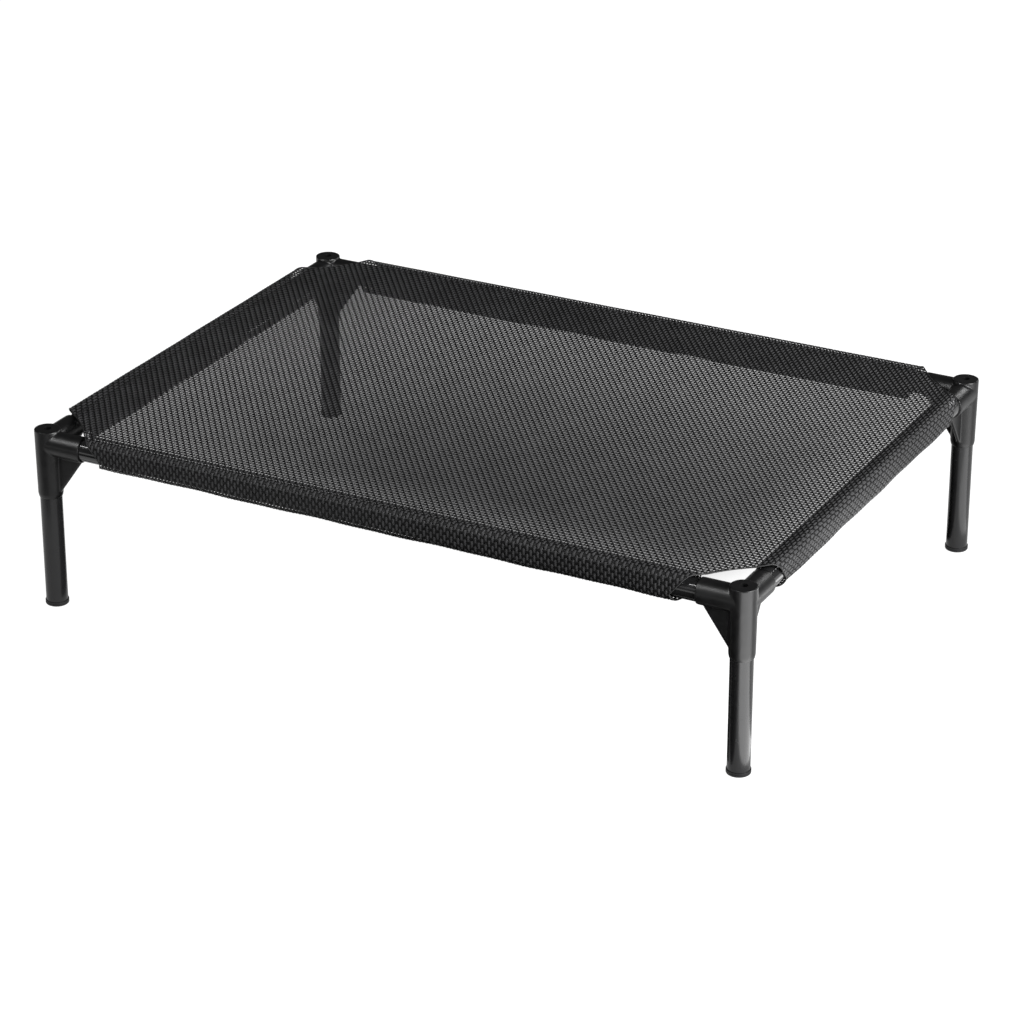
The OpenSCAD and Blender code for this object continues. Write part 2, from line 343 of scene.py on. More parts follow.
class Shading:
    """The nodes of a material or of the surroundings, in the making."""

    def __init__(self, owner):
        owner.use_nodes = True
        self.owner, self.tree = owner, owner.node_tree

    def node(self, kind, **values):
        """A node, with its properties and input values set by name."""
        made = self.tree.nodes.new("ShaderNode" + kind)
        for key, value in values.items():
            if key in made.inputs:
                made.inputs[key].default_value = value
            else:
                setattr(made, key, value)
        return made

    def link(self, source, target):
        """Joins two sockets."""
        self.tree.links.new(source, target)

    def worked_out(self, operation, *values):
        """The outcome of a sum over sockets and plain numbers."""
        node = self.node("Math", operation=operation)
        for value, socket in zip(values, node.inputs):
            if isinstance(value, bpy.types.NodeSocket):
                self.link(value, socket)
            else:
                socket.default_value = value
        return node.outputs["Value"]


class Finish(Shading):
    """A material with a Principled shader, and the nodes that vary it over the surface."""

    def __init__(self, name, **sockets):
        self.material = bpy.data.materials.new(name)
        super().__init__(self.material)
        self.shader = self.tree.nodes["Principled BSDF"]
        for key, value in sockets.items():
            socket = self.shader.inputs[key.replace("_", " ").title().replace("Ior", "IOR")]
            socket.default_value = (*value, 1) if hasattr(value, "__len__") else value

    def noise(self, scale, detail=3.0, stretch=(1, 1, 1)):
        """A cloud pattern in the object's own space, with its scale per metre."""
        where = self.node("TexCoord")
        mapping = self.node("Mapping", Scale=stretch)
        clouds = self.node("TexNoise", Scale=scale, Detail=detail)
        self.link(where.outputs["Object"], mapping.inputs["Vector"])
        self.link(mapping.outputs["Vector"], clouds.inputs["Vector"])
        return clouds.outputs["Fac"]

    def ranged(self, pattern, low, high):
        """A value that runs from low to high over a pattern."""
        ends = {"From Min": CLOUD_LOW, "From Max": CLOUD_HIGH, "To Min": low, "To Max": high}
        ramp = self.node("MapRange", **ends)
        self.link(pattern, ramp.inputs["Value"])
        return ramp.outputs["Result"]

    def roughness(self, pattern, low, high):
        """Lets the roughness run from low to high over a pattern."""
        self.link(self.ranged(pattern, low, high), self.shader.inputs["Roughness"])

    def mottle(self, pattern, low, high):
        """Lets the base colour run between two colours over a pattern."""
        ramp = self.node("ValToRGB")
        ends = ((CLOUD_LOW, low), (CLOUD_HIGH, high))
        for element, (position, value) in zip(ramp.color_ramp.elements, ends):
            element.position = position
            element.color = (*value, 1)
        self.link(pattern, ramp.inputs["Fac"])
        self.link(ramp.outputs["Color"], self.shader.inputs["Base Color"])

    def bump(self, height, strength, depth):
        """Raises the surface by a height pattern."""
        bump = self.node("Bump", Strength=strength, Distance=depth)
        self.link(height, bump.inputs["Height"])
        self.link(bump.outputs["Normal"], self.shader.inputs["Normal"])


def times(value, factor):
    """A colour made lighter or darker."""
    return tuple(channel * factor for channel in value)


def satin_plastic(name, base, roughness):
    """Moulded plastic with a fine grain and slightly cloudy gloss."""
    finish = Finish(name, specular_ior_level=0.38)
    finish.mottle(finish.noise(60), times(base, 0.85), times(base, 1.15))
    finish.roughness(finish.noise(140), roughness - 0.05, roughness + 0.05)
    finish.bump(finish.noise(2600, detail=2), strength=0.12, depth=0.1 * MM)
    return finish.material


def powder_coat(name, base, roughness, specular):
    """Glossy powder coat on steel tube, with a faint orange peel."""
    finish = Finish(name, specular_ior_level=specular)
    finish.mottle(finish.noise(25), times(base, 0.9), times(base, 1.1))
    finish.roughness(finish.noise(90), roughness - 0.04, roughness + 0.04)
    finish.bump(finish.noise(700, detail=2), strength=0.1, depth=0.05 * MM)
    return finish.material


def dark_steel(base):
    """Black oxide on bolt steel."""
    finish = Finish("bolt_black_oxide", metallic=0.7)
    finish.mottle(finish.noise(300), times(base, 0.7), times(base, 1.3))
    finish.roughness(finish.noise(500), 0.35, 0.5)
    return finish.material


def zinc(base):
    """Zinc-plated turned steel, brushed round its axis."""
    finish = Finish("insert_zinc", metallic=1.0)
    brushed = (1, 1, 12)
    finish.mottle(finish.noise(200), times(base, 0.85), base)
    finish.roughness(finish.noise(400, detail=2, stretch=brushed), 0.28, 0.45)
    finish.bump(finish.noise(300, detail=2, stretch=brushed), strength=0.2, depth=0.05 * MM)
    return finish.material


def coated_mesh(shaded_along_base, lit_across_base):
    """Coated mesh strands: satin pairs of yarns, with painted shade on those along the cot and painted light
    on those across it.
    """
    finish = Finish("sling_coated_mesh", specular_ior_level=0.15)
    yarn = finish.node("Attribute", attribute_name="yarn")
    parts = finish.node("SeparateXYZ")
    finish.link(yarn.outputs["Vector"], parts.inputs["Vector"])
    # Painted light and shade: the darker colour on strands along the cot, the lighter one on strands across
    # it, mixed by the strand's axis
    painted_light_tone = finish.node("Mix", data_type="RGBA")
    painted_light_tone.inputs["A"].default_value = (*shaded_along_base, 1)
    painted_light_tone.inputs["B"].default_value = (*lit_across_base, 1)
    finish.link(parts.outputs["Z"], painted_light_tone.inputs["Factor"])
    shaded = finish.node("VectorMath", operation="SCALE")
    finish.link(painted_light_tone.outputs["Result"], shaded.inputs["Vector"])
    finish.link(finish.ranged(finish.noise(35), 0.8, 1.2), shaded.inputs["Scale"])
    finish.link(shaded.outputs["Vector"], finish.shader.inputs["Base Color"])
    finish.roughness(finish.noise(160), 0.38, 0.5)
    pair = finish.worked_out("SINE", finish.worked_out("MULTIPLY", parts.outputs["X"], math.pi))
    finish.bump(finish.worked_out("ABSOLUTE", pair), strength=0.6, depth=0.3 * MM)
    return finish.material


def sewing_thread(base):
    """Bonded thread and heat-cut edges: duller than the mesh."""
    finish = Finish("sling_thread", specular_ior_level=0.4)
    finish.mottle(finish.noise(400), times(base, 0.7), times(base, 1.3))
    finish.roughness(finish.noise(700), 0.5, 0.7)
    finish.bump(finish.noise(3000, detail=1), strength=0.2, depth=0.1 * MM)
    return finish.material


def give(piece, material):
    """Puts one material on a whole piece."""
    piece.data.materials.clear()
    piece.data.materials.append(material)


def give_nodes(prefix, material):
    """Puts a material on every CAD node whose name starts so."""
    for name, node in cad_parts.items():
        if name.startswith(prefix):
            node.material_slots[0].material = material


# The woven sling


class Loop:
    """Section of a sleeve, from its seam outwards over the rail, round it and back to the seam.

    u runs inwards from the rail axis and w upwards. Distances t along the cloth start at the panel's edge."""

    def __init__(self, size):
        inset = size.cloth / 2
        outer, inner = SLEEVE_LOW.y + LEG_Y, SLEEVE_HIGH.y + LEG_Y
        top, bottom = SLEEVE_HIGH.z - RAIL_Z, SLEEVE_LOW.z - RAIL_Z
        self.edge = PANEL_LOW.y + LEG_Y
        panel_top = PANEL_HIGH.z - RAIL_Z
        shoulder, belly = size.shoulder_radius, size.belly_radius
        hem, seam = size.hem_radius, size.seam_radius
        circles = (
            (outer + shoulder, top - shoulder, shoulder),
            (belly - TUBE_R - size.belly_side, belly - TUBE_R - size.belly_drop, belly),
            (inner - hem, bottom + hem, hem),
            (self.edge - seam, panel_top - seam, seam),
        )
        turns = np.linspace(0, 2 * np.pi, LOOP_POINTS, endpoint=False)
        self.points = np.array([(self.edge, panel_top - inset), *self.wrapped(circles, inset, turns)])
        steps = np.linalg.norm(np.diff(self.points, axis=0), axis=1)
        self.t = np.concatenate([[0.0], np.cumsum(steps)])
        self.length = self.t[-1]
        along = np.gradient(self.points, self.t, axis=0)
        along /= np.linalg.norm(along, axis=1)[:, None]
        self.normals = np.stack([along[:, 1], -along[:, 0]], axis=1)

    @staticmethod
    def wrapped(circles, inset, turns):
        """The cloth round all circles, as the point that reaches furthest in each direction.

        It starts straight up, turns outwards and ends where it comes to the last circle."""
        found = []
        for turn in turns:
            reach = np.array([-np.sin(turn), np.cos(turn)])
            furthest = max(circles, key=lambda c: c[0] * reach[0] + c[1] * reach[1] + c[2])
            found.append(np.array(furthest[:2]) + (furthest[2] - inset) * reach)
            if furthest is circles[-1]:
                break
        return found

    def at(self, t):
        """Place (u, w) and outward direction of the cloth at distances t."""
        place_u, place_w = (np.interp(t, self.t, self.points[:, axis]) for axis in (0, 1))
        out_u, out_w = (np.interp(t, self.t, self.normals[:, axis]) for axis in (0, 1))
        return place_u, place_w, out_u, out_w


class RoundCut:
    """A round piece that is cut away from the flat cloth."""

    def __init__(self, centre, radius):
        self.centre, self.radius = np.array(centre), radius

    def inside(self, starts, along):
        """The steps at which strands enter and leave the piece."""
        offset = starts - self.centre
        scale = along @ along
        middle = -(offset @ along) / scale
        half = np.sqrt(np.maximum(middle**2 - ((offset**2).sum(-1) - self.radius**2) / scale, 0))
        return middle - half, middle + half


class WedgeCut:
    """A wedge that is cut away from the flat cloth: its tip, and the directions out of its two sides."""

    def __init__(self, tip, outwards):
        self.tip, self.outwards = np.array(tip), np.array(outwards)

    def inside(self, starts, along):
        """The steps at which strands enter and leave the wedge."""
        first, last = np.full(starts.shape[:-1], -FAR), np.full(starts.shape[:-1], FAR)
        for outward in self.outwards:
            rate = along @ outward
            crossing = -((starts - self.tip) @ outward) / rate
            if rate > 0:
                last = np.minimum(last, crossing)
            else:
                first = np.maximum(first, crossing)
        middle = (first + last) / 2
        return np.minimum(first, middle), np.maximum(last, middle)


class Weave:
    """Strands along and across the cot, each over one and under the next.

    They are laid out flat and then folded into place."""

    def __init__(self, size, width, wave, crown, stations_per_step):
        self.cell = np.array([size.cell_x, size.cell_y])
        self.width, self.wave, self.crown, self.stations_per_step = width, wave, crown, stations_per_step

    def strands(self, axis, low, high, cuts):
        """Number, start, first step and last step of each strand along an axis of a flat box, outside cuts.

        Starts and steps are given for a strand's two edges and its middle, and steps count crossings."""
        side, along = 1 - axis, np.zeros(2)
        along[axis] = self.cell[axis]
        half = self.width * self.cell[side] / 2
        pitch = self.cell[side]
        first, last = math.ceil((low[side] - half) / pitch), math.floor((high[side] + half) / pitch)
        numbers = np.arange(first, last + 1)
        starts = np.zeros((len(numbers), len(ACROSS), 2))
        lines = numbers[:, None] * pitch + half * ACROSS
        starts[..., side] = np.clip(lines, low[side], high[side])
        enter = np.full(starts.shape[:2], low[axis] / self.cell[axis])
        leave = np.full(starts.shape[:2], high[axis] / self.cell[axis])
        for cut in cuts:
            first, last = cut.inside(starts, along)
            hit = ((first < last) & (first < leave) & (last > enter))[:, 1:2]
            before = np.where(hit, np.minimum(leave, first), leave)
            after = np.where(hit, np.maximum(enter, last), leave)
            enter, leave = np.concatenate([enter, after]), np.concatenate([before, leave])
            numbers, starts = np.concatenate([numbers, numbers]), np.concatenate([starts, starts])
            kept = (leave > enter).all(axis=1)
            numbers, starts, enter, leave = numbers[kept], starts[kept], enter[kept], leave[kept]
        return zip(numbers, starts, enter, leave)

    def piece(self, name, low, high, fold, cuts):
        """A woven piece over a flat box: fold takes flat points and their lift, and gives places."""
        points, faces, yarn, bake = [], [], [], []
        count = 0
        crown = self.crown * (0.5 - np.abs(ACROSS))
        span = np.array(high) - np.array(low)
        for axis in (0, 1):
            for number, start, enter, leave in self.strands(axis, low, high, cuts):
                first = math.floor(self.stations_per_step * enter.min())
                last = math.ceil(self.stations_per_step * leave.max())
                stations = np.arange(first, last + 1)
                steps = np.clip(stations[:, None] / self.stations_per_step, enter, leave)
                flat = np.repeat(start[None], len(steps), axis=0)
                flat[..., axis] = steps * self.cell[axis]
                wave = (1 - 2 * axis) * (1 - 2 * (number % 2)) * self.wave * np.cos(np.pi * steps)
                points.append(fold(flat.reshape(-1, 2), (wave + crown).ravel()))
                yarn.append(self.yarn_places(steps * self.cell[axis], axis))
                unit = (flat.reshape(-1, 2) - low) / span
                bake.append(np.stack([unit[:, 0], (unit[:, 1] + axis) / 2], axis=1))
                faces.append(self.strip(steps) + count)
                count += steps.size
        piece = mesh_piece(name, np.concatenate(points), np.concatenate(faces))
        self.mark(piece.data, np.concatenate(yarn), np.concatenate(bake))
        select_only(piece)
        bpy.ops.object.mode_set(mode="EDIT")
        bpy.ops.mesh.select_all(action="SELECT")
        bpy.ops.mesh.remove_doubles(threshold=MERGE_DISTANCE)
        bpy.ops.mesh.delete_loose()
        bpy.ops.object.mode_set(mode="OBJECT")
        return piece

    @staticmethod
    def yarn_places(along, axis):
        """Place on the strand itself: across it from -1 to 1, along it in metres, and the strand's axis."""
        across = np.broadcast_to(ACROSS, along.shape)
        return np.stack([across, along, np.full(along.shape, axis)], axis=-1).reshape(-1, 3)

    @staticmethod
    def strip(steps):
        """Faces of one strand, without those that its cut ends leave no room for."""
        rows = np.arange(len(steps) - 1)
        found = []
        for column in (0, 1):
            first = len(ACROSS) * rows + column
            ahead = first + len(ACROSS)
            room = np.diff(steps[:, column : column + 2], axis=0).max(axis=1) > LEAST_STEP
            found.append(np.stack([first, ahead, ahead + 1, first + 1], axis=1)[room])
        return np.concatenate(found)

    @staticmethod
    def mark(mesh, yarn, bake):
        """Keeps each point's place on its strand, and a flat map on which no strands overlap."""
        attribute = mesh.attributes.new("yarn", "FLOAT_VECTOR", "POINT")
        attribute.data.foreach_set("vector", yarn.astype(np.float32).ravel())
        corners = np.empty(len(mesh.loops), np.int32)
        mesh.loops.foreach_get("vertex_index", corners)
        flat_map = mesh.uv_layers.new(name="OFBake")
        flat_map.uv.foreach_set("vector", bake[corners].astype(np.float32).ravel())


def corner_cuts(size):
    """The round cut at each of the panel's corners, by the signs of the corner's place."""
    half = size.corner_cut / math.sqrt(2)
    radius = (half**2 + size.corner_sag**2) / (2 * size.corner_sag)
    out = (radius - size.corner_sag - half) / math.sqrt(2)
    return {
        (sx, sy): RoundCut((sx * (PANEL_HIGH.x + out), sy * (PANEL_HIGH.y + out)), radius)
        for sx in (-1, 1)
        for sy in (-1, 1)
    }


def panel_fold(size):
    """Folds the flat panel into place, with its slight sag."""
    middle = PANEL_HIGH.z - size.cloth / 2

    def fold(flat, lift):
        dip = (1 - (flat[:, 0] / PANEL_HIGH.x) ** 2) * (1 - (flat[:, 1] / PANEL_HIGH.y) ** 2)
        return np.column_stack([flat, middle + lift - size.sag * dip])

    return fold


def side_place(side, along, u, w):
    """Place in the frame of points at u inwards of a side's rail axis and w above it."""
    axis, sign = SIDES[side]
    out = sign * ((LEG_X, LEG_Y)[axis] - u)
    x, y = (along, out) if axis else (out, along)
    return np.column_stack([x, y, RAIL_Z + w])


def sleeve_fold(size, loop, side):
    """Folds the flat cloth beyond the panel's edge round a rail, with soft waves along it."""
    axis = SIDES[side][0]
    edge = PANEL_HIGH[axis]

    def fold(flat, lift):
        along = flat[:, 1 - axis]
        t = np.abs(flat[:, axis]) - edge
        u, w, out_u, out_w = loop.at(t)
        slack = np.sin(np.pi * np.clip(t / loop.length, 0, 1)) ** 2
        waves = sum(
            height * np.sin(along * length_rate + t * round_rate + start)
            for height, length_rate, round_rate, start in SLEEVE_WAVES
        )
        lift = lift + size.ripple * slack * waves
        return side_place(side, along, u + lift * out_u, w + lift * out_w)

    return fold


def half_span(side):
    """Distance of the leg axes from the middle of a side."""
    return LEG_X if SIDES[side][0] else LEG_Y


def end_slants(size, loop):
    """Rates at which a sleeve's end leaves the leg axis, before its shortest line and after it."""
    start = loop.edge + size.corner_cut
    before = (size.end_tip - start) / size.end_tip_t
    after = (size.end_inner - size.end_tip) / (loop.length - size.end_tip_t)
    return before, after


def end_gap(size, loop, t):
    """Distance of a sleeve's end from the leg axis, at distances t round the sleeve."""
    before, after = (rate * (t - size.end_tip_t) for rate in end_slants(size, loop))
    return size.end_tip + np.minimum(before, after)


def end_cuts(size, loop, side):
    """The wedges that are cut from the flat cloth of a sleeve at its two ends."""
    axis, sign = SIDES[side]
    cuts = []
    for end in (-1, 1):
        tip, outwards = [0.0, 0.0], []
        tip[axis] = sign * (PANEL_HIGH[axis] + size.end_tip_t)
        tip[1 - axis] = end * (half_span(side) - size.end_tip)
        for rate in end_slants(size, loop):
            outward = [0.0, 0.0]
            outward[axis] = -rate * sign
            outward[1 - axis] = -end
            outwards.append(outward)
        cuts.append(WedgeCut(tip, outwards))
    return cuts


def swept(name, path, radius):
    """A round bead along a path of points."""
    along = np.gradient(path, axis=0)
    along /= np.linalg.norm(along, axis=1)[:, None]
    first = np.cross(along[0], ASKEW)
    frames = []
    for direction in along:
        first = first - direction * (first @ direction)
        first = first / np.linalg.norm(first)
        frames.append((first, np.cross(direction, first)))
    turns = np.linspace(0, 2 * np.pi, BEAD_SIDES, endpoint=False)
    rings = [
        point + radius * (np.cos(turns)[:, None] * one + np.sin(turns)[:, None] * two)
        for point, (one, two) in zip(path, frames)
    ]
    faces = []
    last = (len(path) - 1) * BEAD_SIDES
    for ring in range(0, last, BEAD_SIDES):
        following = ring + BEAD_SIDES
        for side in range(BEAD_SIDES):
            after = (side + 1) % BEAD_SIDES
            faces.append((ring + side, ring + after, following + after, following + side))
    faces += [tuple(range(BEAD_SIDES))[::-1], tuple(range(last, last + BEAD_SIDES))]
    return mesh_piece(name, np.concatenate(rings), faces)


def on_frame(piece, material, slot, *nodes):
    """Finishes a piece, rides it on the frame and lets it stand for CAD nodes."""
    give(piece, material)
    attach(piece, BODY)
    if nodes:
        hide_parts(*nodes)
    return piece


# Operators


class COT_OT_stage(bpy.types.Operator):
    """Add the camera, the pale floor, the white surroundings and the soft lamps"""

    bl_idname = "cot.stage"
    bl_label = "Stage"

    def execute(self, context):
        stage = settings("stage")
        context.scene.view_settings.view_transform = "Standard"
        self.add_camera(context.scene, stage)
        self.add_floor(stage)
        self.add_world(context.scene, stage)
        for lamp in LAMPS:
            self.add_lamp(context.scene, *lamp)
        for flag in SHADE_FLAGS:
            self.add_shade_flag(stage.flag, *flag)
        return {"FINISHED"}

    @staticmethod
    def add_shade_flag(base, name, middle, width, depth):
        """A black card on the floor, which only the shiny pieces mirror: painted shade in their reflections.
        """
        bpy.ops.object.select_all(action="DESELECT")
        bpy.ops.mesh.primitive_plane_add(size=1, location=(*middle, FLAG_Z))
        flag = bpy.context.object
        flag.name = name
        flag.scale = (width, depth, 1)
        bpy.ops.object.transform_apply(location=True, rotation=True, scale=True)
        black = Finish(name + "_black", base_color=base, roughness=1, specular_ior_level=0)
        give(flag, black.material)
        for rays in ("camera", "diffuse", "shadow", "transmission"):
            setattr(flag, "visible_" + rays, False)

    @staticmethod
    def add_camera(scene, stage):
        """The camera, turned and raised about the point that it looks at."""
        data = bpy.data.cameras.new("camera")
        data.lens = stage.lens
        data.sensor_width = SENSOR_MM
        camera = bpy.data.objects.new("camera", data)
        level = math.cos(stage.elevation)
        back = Vector(
            (math.sin(stage.azimuth) * level, -math.cos(stage.azimuth) * level, math.sin(stage.elevation))
        )
        camera.location = Vector(stage.aim) + back * stage.distance
        camera.rotation_euler = (-back).to_track_quat("-Z", "Y").to_euler()
        scene.collection.objects.link(camera)
        scene.camera = camera

    @staticmethod
    def shown_rays(shading, mirrored):
        """1 for rays on which the floor shows, less for those that mirror it, and 0 for the rest."""
        rays = shading.node("LightPath").outputs
        dimmed = shading.worked_out("MULTIPLY", rays["Is Glossy Ray"], mirrored)
        seen = shading.worked_out("MAXIMUM", rays["Is Camera Ray"], rays["Is Transmission Ray"])
        return shading.worked_out("MAXIMUM", seen, dimmed)

    def add_floor(self, stage):
        """A floor that is white to the camera, and clear from below."""
        bpy.ops.object.select_all(action="DESELECT")
        bpy.ops.mesh.primitive_plane_add(size=stage.floor_size)
        floor = bpy.context.object
        floor.name = "floor"
        shading = Shading(bpy.data.materials.new("pale_floor"))
        shading.tree.nodes.clear()
        lit = shading.node("BsdfDiffuse", Color=(*stage.floor, 1))
        glow = shading.node("Emission")
        shading.link(self.floor_glow(shading, stage), glow.inputs["Strength"])
        both = shading.node("AddShader")
        shading.link(lit.outputs["BSDF"], both.inputs[0])
        shading.link(glow.outputs["Emission"], both.inputs[1])
        face = shading.node("NewGeometry")
        clear = shading.node("BsdfTransparent")
        upper_only = shading.node("MixShader")
        shading.link(face.outputs["Backfacing"], upper_only.inputs[0])
        shading.link(both.outputs["Shader"], upper_only.inputs[1])
        shading.link(clear.outputs["BSDF"], upper_only.inputs[2])
        output = shading.node("OutputMaterial")
        shading.link(upper_only.outputs["Shader"], output.inputs["Surface"])
        give(floor, shading.owner)

    def floor_glow(self, shading, stage):
        """The floor's own light: white, but for a painted shade under the cot and behind it, which stands in
        for the cot's shadow.
        """
        where = shading.node("TexCoord")
        parts = shading.node("SeparateXYZ")
        shading.link(where.outputs["Object"], parts.inputs["Vector"])
        shade = stage.shade
        for axis, full, white in PAINTED_SHADE_EDGES:
            ends = {"From Min": full, "From Max": white, "To Min": 1, "To Max": 0}
            edge = shading.node("MapRange", interpolation_type="SMOOTHSTEP", **ends)
            shading.link(parts.outputs[axis], edge.inputs["Value"])
            shade = shading.worked_out("MULTIPLY", shade, edge.outputs["Result"])
        shown = self.shown_rays(shading, stage.mirrored_glow)
        return shading.worked_out("MULTIPLY", shown, shading.worked_out("SUBTRACT", 1, shade))

    @staticmethod
    def add_world(scene, stage):
        """A dim light from all round, which the camera sees as white."""
        scene.world = bpy.data.worlds.new("dim_studio")
        shading = Shading(scene.world)
        background = shading.tree.nodes["Background"]
        background.inputs["Color"].default_value = (1, 1, 1, 1)
        rays = shading.node("LightPath").outputs
        strength = shading.worked_out("MAXIMUM", rays["Is Camera Ray"], stage.ambient)
        shading.link(strength, background.inputs["Strength"])

    @staticmethod
    def add_lamp(scene, name, place_m, aim_m, width, height, power, lights_dull):
        """A rectangular lamp, which the camera does not see."""
        data = bpy.data.lights.new(name, "AREA")
        data.shape = "RECTANGLE"
        data.size, data.size_y = width, height
        data.energy = power
        lamp = bpy.data.objects.new(name, data)
        lamp.location = place_m
        lamp.rotation_euler = (Vector(aim_m) - Vector(place_m)).to_track_quat("-Z", "Y").to_euler()
        lamp.visible_camera = False
        lamp.visible_diffuse = lights_dull
        scene.collection.objects.link(lamp)


class COT_OT_connectors(bpy.types.Operator):
    """Mould the three-way corner connectors, with soft edges and bored sockets"""

    bl_idname = "cot.connectors"
    bl_label = "Corner connectors"

    def execute(self, context):
        size = settings("connector")
        plastic = satin_plastic("connector_satin_plastic", settings("finish").plastic, roughness=0.36)
        first = self.moulding(size)
        for corner, degrees in CORNER_TURNS.items():
            name = "corner_connector_" + corner
            piece = copied(first, "moulded_" + name)
            low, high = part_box("leg_tube_" + corner)
            leg_axis = ((low.x + high.x) / 2, (low.y + high.y) / 2, 0)
            place(piece, turn=math.radians(degrees), move=leg_axis)
            bpy.ops.object.shade_smooth_by_angle(angle=CREASE)
            on_frame(piece, plastic, "connector_plastic", name)
        bpy.data.objects.remove(first)
        return {"FINISHED"}

    def moulding(self, size):
        """One connector about its leg axis, with its arms along +X and +Y."""
        body = turned(
            "moulding",
            [
                (TUBE_R + size.lip_wall, UPRIGHT_Z),
                (size.upright_radius, UPRIGHT_Z + size.lip_height),
                (UPRIGHT_TOP_R, TOP_Z),
            ],
        )
        arms = []
        for turn in (0, math.pi / 2):
            arm = turned("arm", [(size.arm_radius, 0), (size.arm_radius, ARM_REACH)])
            arms.append(place(arm, turn=turn, tilt=math.pi / 2, move=(0, 0, RAIL_Z)))
            arms.append(place(self.web(size), turn=turn))
        body = joined(body, *arms)
        with_modifier(body, "REMESH", mode="VOXEL", voxel_size=size.grain)
        with_modifier(body, "SMOOTH", factor=0.5, iterations=size.blend_passes)
        bores = self.bores(size)
        with_modifier(body, "BOOLEAN", operation="DIFFERENCE", solver="EXACT", object=bores)
        bpy.data.objects.remove(bores)
        return body

    @staticmethod
    def web(size):
        """Gusset web under the arm along +X: a plate whose lower outer edge is drawn in to the upright."""
        top, tip = RAIL_Z - size.web_sink, TOP_Z - size.web_drop
        bpy.ops.object.select_all(action="DESELECT")
        bpy.ops.mesh.primitive_cube_add(size=1, location=(size.web_reach / 2, 0, (top + tip) / 2))
        plate = bpy.context.object
        plate.scale = (size.web_reach, size.web_thickness, top - tip)
        bpy.ops.object.transform_apply(location=True, rotation=True, scale=True)
        bpy.ops.object.mode_set(mode="EDIT")
        bpy.ops.mesh.select_mode(type="VERT")
        bpy.ops.mesh.select_all(action="DESELECT")
        bpy.ops.object.mode_set(mode="OBJECT")
        for vertex in plate.data.vertices:
            vertex.select = vertex.co.x > size.web_reach / 2 and vertex.co.z < (top + tip) / 2
        bpy.ops.object.mode_set(mode="EDIT")
        bpy.ops.transform.translate(value=(size.upright_radius - size.web_reach, 0, 0))
        bpy.ops.object.mode_set(mode="OBJECT")
        return plate

    @staticmethod
    def bores(size):
        """The leg socket with the bolt's hole and recess, and the two rail sockets."""
        past = 2 * MM
        socket = TUBE_R + size.socket_play
        floor = LEG_TOP + 2 * size.socket_play
        seat = BOLT_HEAD_Z - size.bolt_head
        upright = turned(
            "bores",
            [
                (socket, UPRIGHT_Z - past),
                (socket, floor),
                (size.hole_radius, floor),
                (size.hole_radius, seat),
                (size.counterbore_radius, seat),
                (size.counterbore_radius, TOP_Z + past),
            ],
        )
        rails = []
        for turn in (0, math.pi / 2):
            bore = turned("rail_bore", [(socket, RAIL_END - size.socket_play), (socket, ARM_REACH + past)])
            rails.append(place(bore, turn=turn, tilt=math.pi / 2, move=(0, 0, RAIL_Z)))
        return joined(upright, *rails)


class COT_OT_tubes(bpy.types.Operator):
    """Finish the rails, legs, feet, bolts and threaded plugs"""

    bl_idname = "cot.tubes"
    bl_label = "Tubes, feet and bolts"

    def execute(self, context):
        finish = settings("finish")
        rail_coat = powder_coat("rail_powder_coat", finish.tube, roughness=0.1, specular=0.7)
        leg_coat = powder_coat("leg_powder_coat", finish.tube, roughness=0.24, specular=0.39)
        give_nodes("long_rail", rail_coat)
        give_nodes("short_rail", rail_coat)
        give_nodes("leg_tube", leg_coat)
        give_nodes("foot_plug", satin_plastic("foot_satin_plastic", finish.foot, roughness=0.5))
        give_nodes("leg_bolt", dark_steel(finish.bolt))
        give_nodes("leg_insert", zinc(finish.insert))
        return {"FINISHED"}


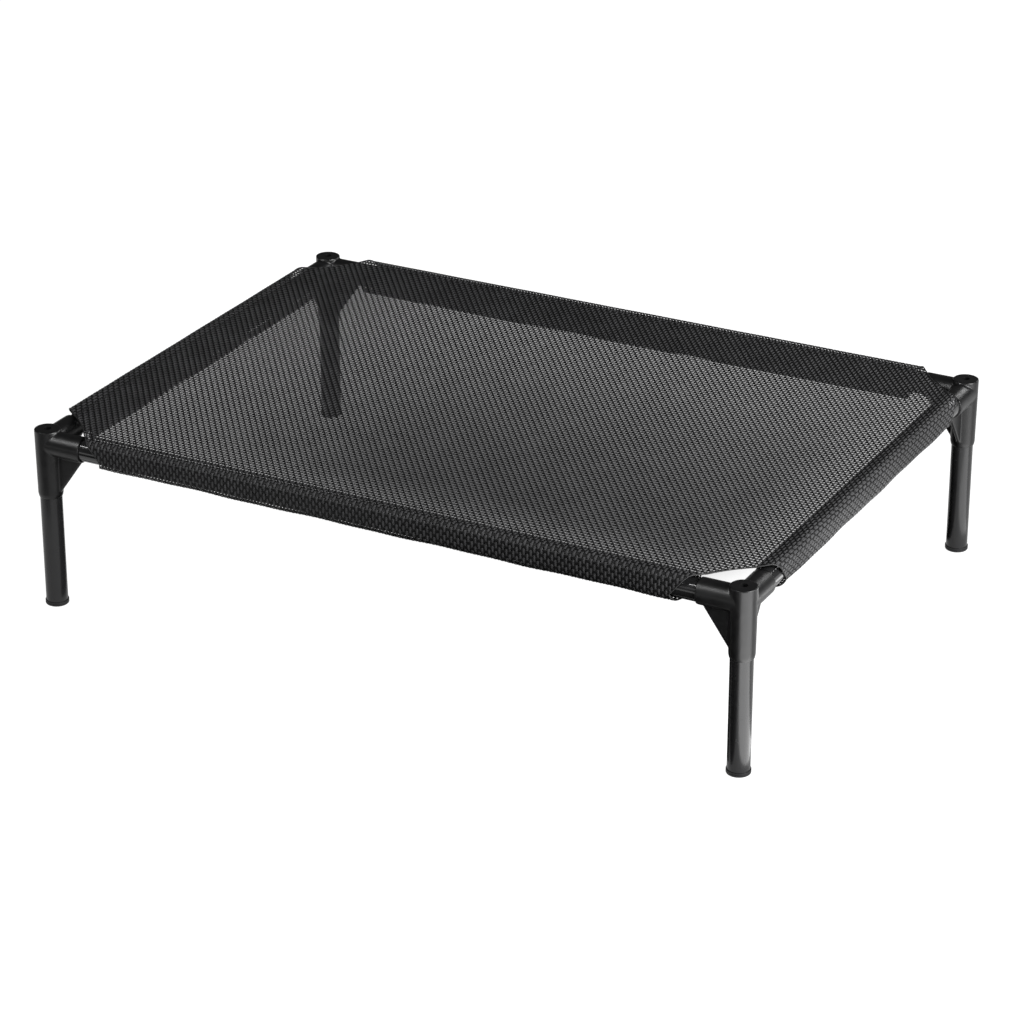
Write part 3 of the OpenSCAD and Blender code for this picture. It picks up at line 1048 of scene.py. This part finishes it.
class COT_OT_sling(bpy.types.Operator):
    """Weave the sling's panel and the loose sleeves round the rails"""

    bl_idname = "cot.sling"
    bl_label = "Mesh sling"

    def execute(self, context):
        size, finish = settings("sling"), settings("finish")
        mesh = coated_mesh(finish.mesh_along_shaded, finish.mesh_across_lit)
        thread = sewing_thread(finish.thread)
        weave = Weave(size, size.panel_share, size.panel_wave, size.panel_crown, stations_per_step=1)
        sleeve_weave = Weave(
            size, size.sleeve_share, size.sleeve_wave, size.sleeve_crown, stations_per_step=2
        )
        loop = Loop(size)
        edges = [
            on_frame(self.cut_edge(size, loop, corner), thread, "mesh_fabric") for corner in CORNER_TURNS
        ]
        cuts = corner_cuts(size).values()
        panel = weave.piece("woven_panel", PANEL_LOW.xy, PANEL_HIGH.xy, panel_fold(size), cuts)
        on_frame(panel, mesh, "mesh_fabric", "mesh_panel")
        for side in SIDES:
            self.add_sleeve(sleeve_weave, loop, size, side, mesh, thread)
        return {"FINISHED"}

    def add_sleeve(self, weave, loop, size, side, mesh, thread):
        """One woven sleeve with its row of stitches."""
        axis, sign = SIDES[side]
        end = half_span(side) - loop.edge - size.corner_cut
        near, far = PANEL_HIGH[axis], PANEL_HIGH[axis] + loop.length
        low, high = [-end, -end], [end, end]
        low[axis], high[axis] = (near, far) if sign > 0 else (-far, -near)
        cuts = end_cuts(size, loop, side)
        sleeve = weave.piece("woven_sleeve_" + side, low, high, sleeve_fold(size, loop, side), cuts)
        on_frame(sleeve, mesh, "mesh_fabric", "sleeve_" + side)
        stitches = on_frame(self.stitches(size, side), thread, "mesh_fabric")
        area = float(np.trapz(2 * (half_span(side) - end_gap(size, loop, loop.t)), loop.t))

    @staticmethod
    def stitches(size, side):
        """A row of stitches along the seam on one side of the panel."""
        axis = SIDES[side][0]
        run = PANEL_HIGH[1 - axis] - size.corner_cut
        count = int(2 * run / size.stitch_pitch)
        bpy.ops.object.select_all(action="DESELECT")
        bpy.ops.mesh.primitive_uv_sphere_add(segments=8, ring_count=6, radius=size.stitch_radius)
        row = bpy.context.object
        row.name = "seam_stitches_" + side
        row.scale = (size.stitch_length / size.stitch_radius / 2, 1, STITCH_FLATNESS)
        bpy.ops.object.transform_apply(scale=True)
        bpy.ops.object.shade_smooth()
        with_modifier(
            row, "ARRAY", count=count, use_relative_offset=False, use_constant_offset=True,
            constant_offset_displace=(size.stitch_pitch, 0, 0),
        )
        start = -(count - 1) * size.stitch_pitch / 2
        offset = PANEL_HIGH[axis] - STITCH_INSET
        place(row, move=(start, -offset, PANEL_HIGH.z + size.panel_crown / 2))
        return place(row, turn=math.radians(SIDE_TURNS[side]))

    @staticmethod
    def cut_edge(size, loop, corner):
        """The fused bead along the cloth's cut edge at a corner.

        It runs round the long sleeve's end, over the panel's cut and round the short sleeve's end."""
        long_side, short_side = corner.split("_")
        sx, sy = SIDES[short_side][1], SIDES[long_side][1]
        gaps = end_gap(size, loop, loop.t)
        long_end, short_end = (
            side_place(side, sign * (half_span(side) - gaps), *loop.points.T)
            for side, sign in ((long_side, sx), (short_side, sy))
        )
        cut = corner_cuts(size)[sx, sy]
        centre, radius = cut.centre, cut.radius
        first, last = (math.atan2(*(point[0][1::-1] - centre[::-1])) for point in (long_end, short_end))
        turn = (last - first + math.pi) % (2 * math.pi) - math.pi
        steps = first + turn * np.linspace(0, 1, CORNER_POINTS + 2)[1:-1]
        middle = np.column_stack(
            [
                centre[0] + radius * np.cos(steps),
                centre[1] + radius * np.sin(steps),
                np.full(len(steps), PANEL_HIGH.z - size.cloth / 2),
            ]
        )
        path = np.concatenate([long_end[::-1], middle, short_end])
        return swept("cut_edge_" + corner, path, size.edge_radius)


OPERATORS = (COT_OT_stage, COT_OT_connectors, COT_OT_tubes, COT_OT_sling)


class COT_PT_panel(bpy.types.Panel):
    """Lists the cot's pieces and sizes"""

    bl_idname = "COT_PT_panel"
    bl_label = "Raised pet cot"
    bl_space_type = "VIEW_3D"
    bl_region_type = "UI"
    bl_category = "Cot"

    def draw(self, context):
        for operator in OPERATORS:
            self.layout.operator(operator.bl_idname)
        for group, kind in GROUPS.items():
            box = self.layout.box()
            box.label(text=group.title())
            for key in kind.__annotations__:
                box.prop(settings(group), key)


CLASSES = (*GROUPS.values(), *OPERATORS, COT_PT_panel)


def register():
    for cls in CLASSES:
        bpy.utils.register_class(cls)
    for group, kind in GROUPS.items():
        setattr(bpy.types.Scene, "cot_" + group, bpy.props.PointerProperty(type=kind))


def unregister():
    for group in GROUPS:
        delattr(bpy.types.Scene, "cot_" + group)
    for cls in reversed(CLASSES):
        bpy.utils.unregister_class(cls)


def main():
    register()
    bpy.ops.cot.stage()
    bpy.ops.cot.connectors()
    bpy.ops.cot.tubes()
    bpy.ops.cot.sling()


if __name__ == "__main__":
    main()
